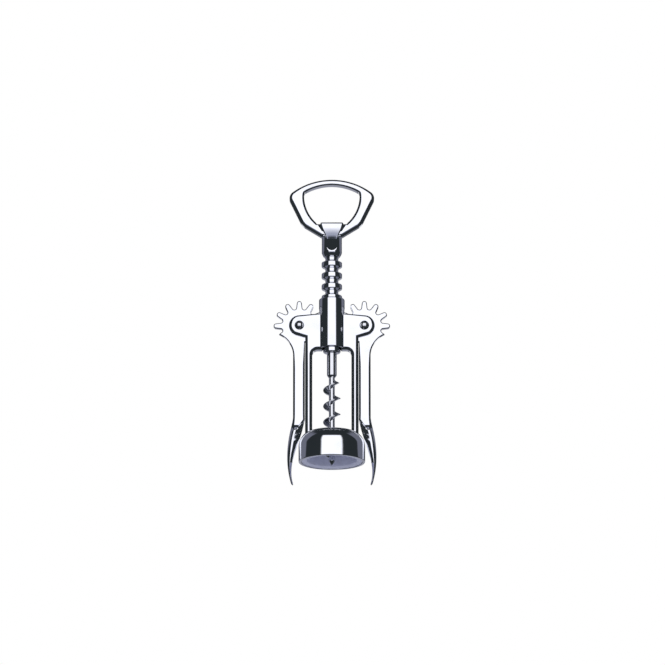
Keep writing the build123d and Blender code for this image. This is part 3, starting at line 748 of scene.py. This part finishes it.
# %% Turn the rack
def rack_profile():
    """Nose, then per groove a rounded crest, a neck and a rounded crest; back down the bore."""
    crest_radius, neck_radius, nose_radius, bore = 6.2, 3.95, 5.3, 2.5
    nose_foot, nose_top, rod_top = 67.7, 79.6, 127.7
    crest_edge, neck_edge, count = 2.05, 1.15, 7
    groove = round_corners([(crest_radius, -crest_edge - 0.5), (crest_radius, -crest_edge),
                            (neck_radius, -neck_edge), (neck_radius, neck_edge),
                            (crest_radius, crest_edge), (crest_radius, crest_edge + 0.5)],
                           [0.05, 0.45, 0.4, 0.4, 0.45, 0.05], steps=5)[5:25]
    lift = PIVOT_Z + np.arange(count)[:, None] * RING_PITCH
    heights = (groove[None, :, 1] + lift).reshape(-1)
    grooves = np.stack([np.tile(groove[:, 0], count), heights], -1)[heights < rod_top - 0.1]
    nose = round_corners([(bore, nose_foot), (nose_radius, nose_foot), (nose_radius, nose_top),
                          (crest_radius, nose_top)], [0.2, 1.3, 0.1, 0.4])
    end = np.array([(neck_radius, rod_top), (bore, rod_top)])
    return np.concatenate([nose, grooves, end])


dress(polish(lathe("ringed_rack", rack_profile(), 128)), "chrome_rack", "rack", "rack")

# %% [markdown]
# ## The worm
#
# The screw is one surface of two parameters, height and an angle that turns with the blade. Every
# level slice is the same shape, a round core with one ridge, only turned a little further. The
# ridge is a ramp in angle from the core's radius out to the blade's thin edge. Towards the point
# both core and blade shrink to nothing, and under the shank the ridge fades back into the core.

# %% Wind the worm
BLADE_PITCH = 9.95
BLADE_RADIUS = 5.25
CORE_RADIUS = 1.8
POINT_Z = -2.2
POINT_FINE = 3.0  # height above the point with closer rows
CORE_GROWS = 3.1  # height over which the core reaches its radius
BLADE_GROWS = 9.0  # the same for the blade
FADE_TOP_Z = 51.7  # here the blade has faded into the core
FADE_HEIGHT = 3.2
SPIRAL_TOP_Z = 52.6
PHASE_Z = 49.6  # height at which the blade points to the right
ROWS_PER_TURN = 48
EDGE_HALF = np.radians(9)  # half the angle of the blade's edge
CROWN_HALF = 0.16  # radians; the edge falls off a little towards this
CROWN_FALL = 0.02


def spiral_grid():
    """r = core + ridge(a) (blade - core); the point is at angle a + 2 pi (z - z0) / pitch."""
    ramp = np.radians([55, 50, 44, 38, 32, 26, 20, 15, 11, 8.5, 6, 3])
    rest = np.linspace(ramp[0], 2 * np.pi - ramp[0], 20)[1:-1]
    angle = np.concatenate([-ramp, [0], ramp[::-1], rest])
    aside = np.abs(angle)
    ridge = np.clip((ramp[0] - aside) / (ramp[0] - EDGE_HALF), 0, 1) ** 1.1
    ridge = np.where(aside <= ramp[0],
                     ridge - CROWN_FALL * (aside < CROWN_HALF) * (aside / CROWN_HALF) ** 2, 0)
    z = np.concatenate([POINT_Z + np.linspace(0, 1, 12)[:-1] ** 1.5 * POINT_FINE,
                        np.arange(POINT_Z + POINT_FINE, SPIRAL_TOP_Z, BLADE_PITCH / ROWS_PER_TURN),
                        [SPIRAL_TOP_Z]])[:, None]
    core = CORE_RADIUS * np.clip((z - POINT_Z) / CORE_GROWS, 0, 1)
    full = BLADE_RADIUS * np.clip((z - POINT_Z) / BLADE_GROWS, 0, 1) ** 0.9
    faded = (CORE_RADIUS
             + (BLADE_RADIUS - CORE_RADIUS) * np.clip((FADE_TOP_Z - z) / FADE_HEIGHT, 0, 1))
    radius = core + ridge * np.maximum(np.minimum(full, faded) - core, 0)
    turn = angle + 2 * np.pi * (z - PHASE_Z) / BLADE_PITCH
    return np.stack([radius * np.cos(turn), radius * np.sin(turn), z + 0 * turn], -1)


spiral = make_piece("worm_spiral", spiral_grid(), capped=[-1])
dress(polish(spiral), "chrome_worm", "spindle", "worm")

# The shank from the journal's end in the hub down to where the spiral starts.
shank_profile = round_corners([(0, 137.79), (2.45, 137.79), (2.45, 67.6), (2.95, 67.6),
                               (2.95, 53.8), (1.82, 52.3), (0, 52.3)],
                              [0.01, 0.2, 0.02, 0.15, 0.5, 0.2, 0.01])
dress(polish(lathe("worm_shank", shank_profile, 64)), "chrome_worm", "spindle")

# %% [markdown]
# ## The bow
#
# The handle's bow is a flat ring with ground edges. Its outer edge is a shallow arc with two soft
# shoulders and sides that run in to the hub; its eye is an arch over two sides that curve in. Both
# outlines are read as a distance from one middle point at equal angles, so that their points face
# each other and the ring becomes one closed grid: outside, front, eye and back.

# %% The two outlines of the bow
BOW_HALF_DEPTH = 2.85
BOW_FOOT = np.array([0, HUB_FOOT_Z])  # the bow's heights are counted from here
BOW_MIDDLE = BOW_FOOT + (0, 28.7)
BOW_TOP = 48.5
BOW_TOP_RADIUS = 40.0
BOW_HALF_WIDTH = 26.8
RIM_HEIGHTS = (34, 45)  # the rims narrow between these
OUTSIDE_RIM = (1.8, 1.1)
EYE_RIM = (1.3, 0.8)
ALONG = 20  # points on each straight side


def blend_corner(before, corner, after, radius, steps=12):
    """A circle of that radius that touches both sides of a corner."""
    to_before, to_after = before - corner, after - corner
    to_before, to_after = to_before / np.linalg.norm(to_before), to_after / np.linalg.norm(to_after)
    half = np.arccos(np.clip(to_before @ to_after, -1, 1)) / 2
    middle = to_before + to_after
    centre = corner + middle / np.linalg.norm(middle) * radius / np.sin(half)
    first = corner + to_before * radius / np.tan(half) - centre
    last = corner + to_after * radius / np.tan(half) - centre
    start, stop = np.arctan2(first[1], first[0]), np.arctan2(last[1], last[0])
    stop += 2 * np.pi * np.round((start - stop) / (2 * np.pi))
    turn = np.linspace(start, stop, steps)
    return centre + radius * np.stack([np.cos(turn), np.sin(turn)], -1)


def three_point_arc(first, middle, last, steps=40):
    """The circle through three points, from the first to the last."""
    sides = np.array([middle - first, last - first])
    centre = first + np.linalg.solve(2 * sides, np.sum(sides ** 2, axis=1))
    turn = np.unwrap([np.arctan2(*(p - centre)[::-1]) for p in (first, middle, last)])
    angles = np.interp(np.linspace(0, 2, steps), [0, 1, 2], turn)
    return centre + np.linalg.norm(first - centre) * np.stack([np.cos(angles), np.sin(angles)], -1)


def evenly_seen(outline, count=360):
    """The outline's distance from the bow's middle at equal angles, as points."""
    seen = outline - BOW_MIDDLE
    angle = np.arctan2(seen[:, 1], seen[:, 0])
    order = np.argsort(angle)
    wanted = np.linspace(-np.pi, np.pi, count, endpoint=False)
    far = np.linalg.norm(seen[order], axis=1)
    distance = np.interp(wanted, angle[order], far, period=2 * np.pi)[:, None]
    return BOW_MIDDLE + distance * np.stack([np.cos(wanted), np.sin(wanted)], -1)


def bow_outside():
    """Throat, knee, side, shoulder and half the arc on top, and the same on the left."""
    middle = BOW_TOP - BOW_TOP_RADIUS
    shoulder_height = middle + np.sqrt(BOW_TOP_RADIUS ** 2 - BOW_HALF_WIDTH ** 2)
    shoulder = BOW_FOOT + (BOW_HALF_WIDTH, shoulder_height)
    knee, throat = BOW_FOOT + (18.0, 19.8), BOW_FOOT + (6.1, 12.4)
    top = arc(BOW_FOOT + (0, middle), BOW_TOP_RADIUS, 52.5, 90, 1.0)
    soft_shoulder = blend_corner(knee, shoulder, top[0], 4.6)
    soft_knee = blend_corner(throat, knee, shoulder, 8.0)
    return both_sides(np.concatenate([
        np.linspace(throat * (0, 1), throat, ALONG)[1:], np.linspace(throat, soft_knee[0], ALONG),
        soft_knee, np.linspace(soft_knee[-1], soft_shoulder[0], ALONG)[1:-1], soft_shoulder,
        top[top[:, 0] < soft_shoulder[-1, 0]]]))


def bow_eye():
    """Half the arch, the corner, the side that curves in and the foot, and the same on the left."""
    corner, waist = BOW_FOOT + (16.8, 40.3), BOW_FOOT + (15.0, 29.2)
    foot = BOW_FOOT + (9.2, 21.0)
    arch = three_point_arc(BOW_FOOT + (0, 45.2), BOW_FOOT + (8.9, 43.85), corner)
    side = three_point_arc(corner, waist, foot)
    soft = blend_corner(arch[-6], corner, side[5], 1.6)
    return both_sides(np.concatenate([
        arch[arch[:, 0] < soft[0, 0]], soft, side[side[:, 1] < soft[-1, 1]],
        np.linspace(foot, foot * (0, 1), ALONG)[1:]]))


# %% The bow as one closed grid
def bow_grid(steps=8):
    """The outside shrinks and the eye grows by the ground rim, which is wider below than on top."""
    inwards, backwards = ground_rim(steps)
    front = []
    for outline, way, widths in ((bow_outside(), 1, OUTSIDE_RIM), (bow_eye(), -1, EYE_RIM)):
        outline = evenly_seen(outline)
        rim = np.interp(outline[:, 1] - HUB_FOOT_Z, RIM_HEIGHTS, widths)
        loops = [evenly_seen(shrink(outline, way * rim * share)) for share in inwards]
        front.append([np.stack([loop[:, 0], rim * share - BOW_HALF_DEPTH, loop[:, 1]], -1)
                      for loop, share in zip(loops, backwards)])
    half = np.stack(front[0] + front[1][::-1])
    return np.concatenate([half, half[::-1] * (1, -1, 1)])


def pocket():
    """A block whose floor slopes from near the bow's face in towards the eye."""
    foot, top, foot_depth, slope = 15.8, 21.6, 2.7, 0.48
    height = np.array([top, foot, foot, top])
    across = np.array([-9.8, -6.0, 6.0, 9.8])
    floor_y = -foot_depth + slope * (height - foot)
    loops = [np.stack([across, y, height + HUB_FOOT_Z], -1) for y in (np.full(4, -6.0), floor_y)]
    return make_piece("pocket", np.stack(loops), capped=[0, 1])


# %% [markdown]
# ## The lip and the scoop
#
# In front of the hub and the bow stands the lip that lifts crown caps: a pad that is wide at its
# edge and narrows into the hub, with a face that leans back more and more on the way down. Below it
# the metal is hollowed by a scoop with a round foot, whose wall comes forward again until it meets
# a small round land on the hub's front. Lip and scoop are stacks of level slices whose width and
# depth follow the height.

# %% Slices of the lip and of the scoop
LIP_TOP = 21.2
LIP_ROOT = 11.7
LIP_FOOT = 10.9  # the lip runs on into the hub's metal
LIP_HEIGHTS = [LIP_FOOT, LIP_ROOT, 13.9, 17.4, LIP_TOP]
LIP_HALF_WIDTHS = [3.6, 3.75, 4.5, 6.1, 7.2]
LIP_EDGE = 0.85


def lip_front(height):
    """How far forward the lip's face is: 4 - 1.7 u^2.2, with u = 0 at its edge and 1 at the root."""
    return 4.0 - 1.7 * np.clip((LIP_TOP - height) / (LIP_TOP - LIP_ROOT), 0, None) ** 2.2


def lip_grid(rows=39):
    """Level slices with two ground front corners; the last rows are the ground edge at the top."""
    inwards, backwards = ground_rim(7)
    plain = np.linspace(LIP_FOOT, LIP_TOP - LIP_EDGE, rows, endpoint=False)
    height = np.append(plain, LIP_TOP - LIP_EDGE * inwards[::-1])[:, None]
    recess = LIP_EDGE * np.append(np.zeros(rows), backwards[::-1])[:, None]
    half_width = np.interp(height, LIP_HEIGHTS, LIP_HALF_WIDTHS) - recess
    front = lip_front(height) - recess
    corner_x, corner_y = half_width - LIP_EDGE * inwards, -front + LIP_EDGE * backwards
    x = np.concatenate([corner_x, -corner_x[:, ::-1], -half_width, half_width], 1)
    y = np.concatenate([corner_y, corner_y[:, ::-1], 0 * half_width, 0 * half_width], 1)
    return np.stack([x, y, height + HUB_FOOT_Z + 0 * x], -1)


LAND_DEPTH = 4.7
LAND_RADIUS = 3.05
LAND_MIDDLE = 5.35
SCOOP_RADIUS = 3.35
SCOOP_MIDDLE = 6.75
SCOOP_TOP_DEPTH = 2.0
CLEAR = 14.0  # cutters reach this far forward


def land():
    """The round cutter that mills the flat land on the hub's front."""
    return lay_on_front(bar("land", LAND_RADIUS, LAND_DEPTH, CLEAR), 0.0, HUB_FOOT_Z + LAND_MIDDLE)


def scoop():
    """A cutter of level slices: a round foot, straight sides, then wide and just behind the lip."""
    foot = SCOOP_MIDDLE - SCOOP_RADIUS * np.cos(np.linspace(0, np.pi / 2, 16))
    height = np.concatenate([foot, [LIP_ROOT, 12.2, 13, 14, 16, 18, 20, 22]])
    below = np.clip(SCOOP_MIDDLE - height, 0, None)
    half_width = np.where(
        height < SCOOP_MIDDLE, np.sqrt(np.clip(SCOOP_RADIUS ** 2 - below ** 2, 0, None)),
        np.interp(height, [SCOOP_MIDDLE, LIP_ROOT, LIP_TOP], [SCOOP_RADIUS, 3.7, 8.4]))
    wall = np.where(height <= LIP_ROOT,
                    np.interp(height, [foot[0], LIP_ROOT], [LAND_DEPTH, SCOOP_TOP_DEPTH]),
                    lip_front(height) - 0.25)
    x = np.stack([-half_width, half_width, half_width, -half_width], -1)
    y = np.stack([-wall, -wall, 0 * wall - CLEAR, 0 * wall - CLEAR], -1)
    grid = np.stack([x, y, height[:, None] + HUB_FOOT_Z + 0 * x], -1)
    return make_piece("scoop", grid, capped=[-1])


# %% Cut the bow and the hub, and set the lip
bow = mill(make_piece("bow", bow_grid(), close_rows=True), pocket(), scoop())
dress(polish(bow), "chrome_handle", "spindle", "bow_handle")

HUB_RADIUS = 6.1
HUB_TOP_Z = HUB_FOOT_Z + 13.4
hub_profile = round_corners([(0, HUB_FOOT_Z), (4.95, HUB_FOOT_Z), (HUB_RADIUS, HUB_FOOT_Z + 2.5),
                             (HUB_RADIUS, HUB_TOP_Z), (0, HUB_TOP_Z)], [0.01, 0.5, 0.5, 1.3, 0.01])
hub = mill(lathe("hub", hub_profile), land(), scoop())
for piece in (hub, make_piece("cap_lip", lip_grid(), capped=[0, -1])):
    dress(polish(piece), "chrome_handle", "spindle")

# %% [markdown]
# ## The cross pin
#
# The pin that holds the worm's journal in the hub hardly shows. Its solid stays and gets the steel
# finish.

# %% Finish the cross pin
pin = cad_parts["bow_pin"]
pin.data.materials.clear()
pin.data.materials.append(finishes["polished_steel"])

# %% [markdown]
# ## Floor, light and camera
#
# Chrome shows its surroundings. In front of the tool hangs a broad white cloth; to the left and
# right stand black boards, which draw the dark lines along every round face; behind it is a grey
# wall, with a low white screen in its middle for the tool's back and a lit patch of floor below
# that. All of it is in the world, as a colour that depends on the direction, because the tool is
# small and the room is far away. The camera sees plain white instead.

# %% The room as a world
CLOTH_HALF_WIDTH = 36.5  # all angles are in degrees
WALL_START = 107.5
CLOTH_FOOT, CLOTH_TOP = (-34.0, -25.0), (39.0, 46.0)
WALL_FOOT, WALL_TOP = (-32.0, -22.0), (46.0, 60.0)
SCREEN_FOOT, SCREEN_TOP = (-5.5, -2.5), (5.0, 8.0)
LIT_FAR, LIT_NEAR = (-30.0, -22.0), (-11.0, -4.0)


def make_room():
    """Colours by azimuth, counted from the front to both sides, and by height, both in degrees."""
    room = bpy.data.worlds.new("room")
    bpy.context.scene.world = room
    finish = Finish(room)
    way = finish.node("SeparateXYZ", {"Vector": finish.node("TexCoord")["Generated"]})
    x, y, z = way["X"], way["Y"], way["Z"]
    aside, level = finish.calculate("ABSOLUTE", x), finish.calculate("SQRT", x * x + y * y)
    azimuth = finish.calculate("ARCTAN2", aside, y * -1.0) * (180 / np.pi)
    height = finish.calculate("ARCTAN2", z, level) * (180 / np.pi)
    cloth = ((1 - finish.between(azimuth, CLOTH_HALF_WIDTH - 4, CLOTH_HALF_WIDTH + 4))
             * finish.band(height, CLOTH_FOOT, CLOTH_TOP))
    wall = (finish.between(azimuth + height * 0.5, WALL_START - 3, WALL_START + 3)
            * finish.band(height, WALL_FOOT, WALL_TOP)
            * (1 - finish.between(azimuth, 130.0, 150.0) * 0.7))
    screen = finish.between(azimuth, 150.0, 162.0) * finish.band(height, SCREEN_FOOT, SCREEN_TOP)
    lit_floor = finish.between(azimuth, 130.0, 160.0) * finish.band(height, LIT_FAR, LIT_NEAR)
    white = finish.mix(finish.between(height, -30.0, 0.0),
                       rgba(0.32, 0.34, 0.44), rgba(1.14, 1.15, 1.21))
    seen = rgba(0.022, 0.027, 0.030)
    for share, colour in ((wall, rgba(0.150, 0.157, 0.200)), (screen, rgba(0.72, 0.73, 0.78)),
                          (lit_floor, rgba(0.30, 0.308, 0.36)), (cloth, white)):
        seen = finish.mix(share, seen, colour)
    rays = finish.node("LightPath")
    seen = finish.mix(rays["Is Diffuse Ray"], seen, rgba(0.8, 0.81, 0.86))
    seen = finish.mix(rays["Is Camera Ray"], seen, rgba(1, 1, 1))
    background = finish.node("Background", {"Color": seen, "Strength": 1.0})
    finish.node("OutputWorld", {"Surface": background["Background"]})


make_room()

# %% The floor, the lamp and the camera
FLOOR_Z = -4500  # far below, so that the tool can be seen from under it
FLOOR_HALF = 9000

across = np.linspace(-FLOOR_HALF, FLOOR_HALF, 3)
floor_grid = np.stack(np.meshgrid(across, across, [FLOOR_Z]), -1).reshape(3, 3, 3)
studio_floor = make_piece("studio_floor", floor_grid, close_columns=False)
pale, pale_finish, spot = start_finish("pale_floor")
pale_tint = pale_finish.mix(pale_finish.noise(spot, 2.0, 3.0),
                            rgba(0.93, 0.93, 0.95), rgba(0.97, 0.97, 0.98))
matt = pale_finish.node("BsdfPrincipled", {"Base Color": pale_tint, "Roughness": 0.9})
glow = pale_finish.node("Emission", {"Color": rgba(1, 1, 1), "Strength": 1.0})
path = pale_finish.node("LightPath")
shown = pale_finish.node("MixShader", {
    0: path["Is Camera Ray"], 1: matt["BSDF"], 2: glow["Emission"]})
pale_finish.node("OutputMaterial", {"Surface": shown["Shader"]})
studio_floor.data.materials.append(pale)
studio_floor.visible_glossy = False


def aim(thing, place, target):
    """Puts a lamp or camera at a place and turns its negative z towards the target."""
    thing.location = place
    thing.rotation_euler = (Vector(target) - Vector(place)).to_track_quat("-Z", "Y").to_euler()
    bpy.context.scene.collection.objects.link(thing)


lamp = bpy.data.lights.new("soft_lamp", "AREA")
lamp.energy, lamp.size = 9.0, 1.2
soft_lamp = bpy.data.objects.new("soft_lamp", lamp)
soft_lamp.visible_glossy = False
aim(soft_lamp, (-0.8, -1.8, 1.4), (0, 0, 0.08))

CAMERA_DISTANCE = 4.0
CAMERA_RISE = np.radians(-14.8)
VIEW_HEIGHT = 0.4023
target = np.array([0.0004, 0.0, 0.0808])
lens = bpy.data.cameras.new("camera")
lens.sensor_width = 36.0
lens.lens = lens.sensor_width / 2 / (VIEW_HEIGHT / 2 / CAMERA_DISTANCE)
lens.clip_end = 60.0
camera = bpy.data.objects.new("camera", lens)
away = np.array([0, -np.cos(CAMERA_RISE), np.sin(CAMERA_RISE)])
aim(camera, target + CAMERA_DISTANCE * away, target)
bpy.context.scene.camera = camera
bpy.context.scene.view_settings.view_transform = "Standard"
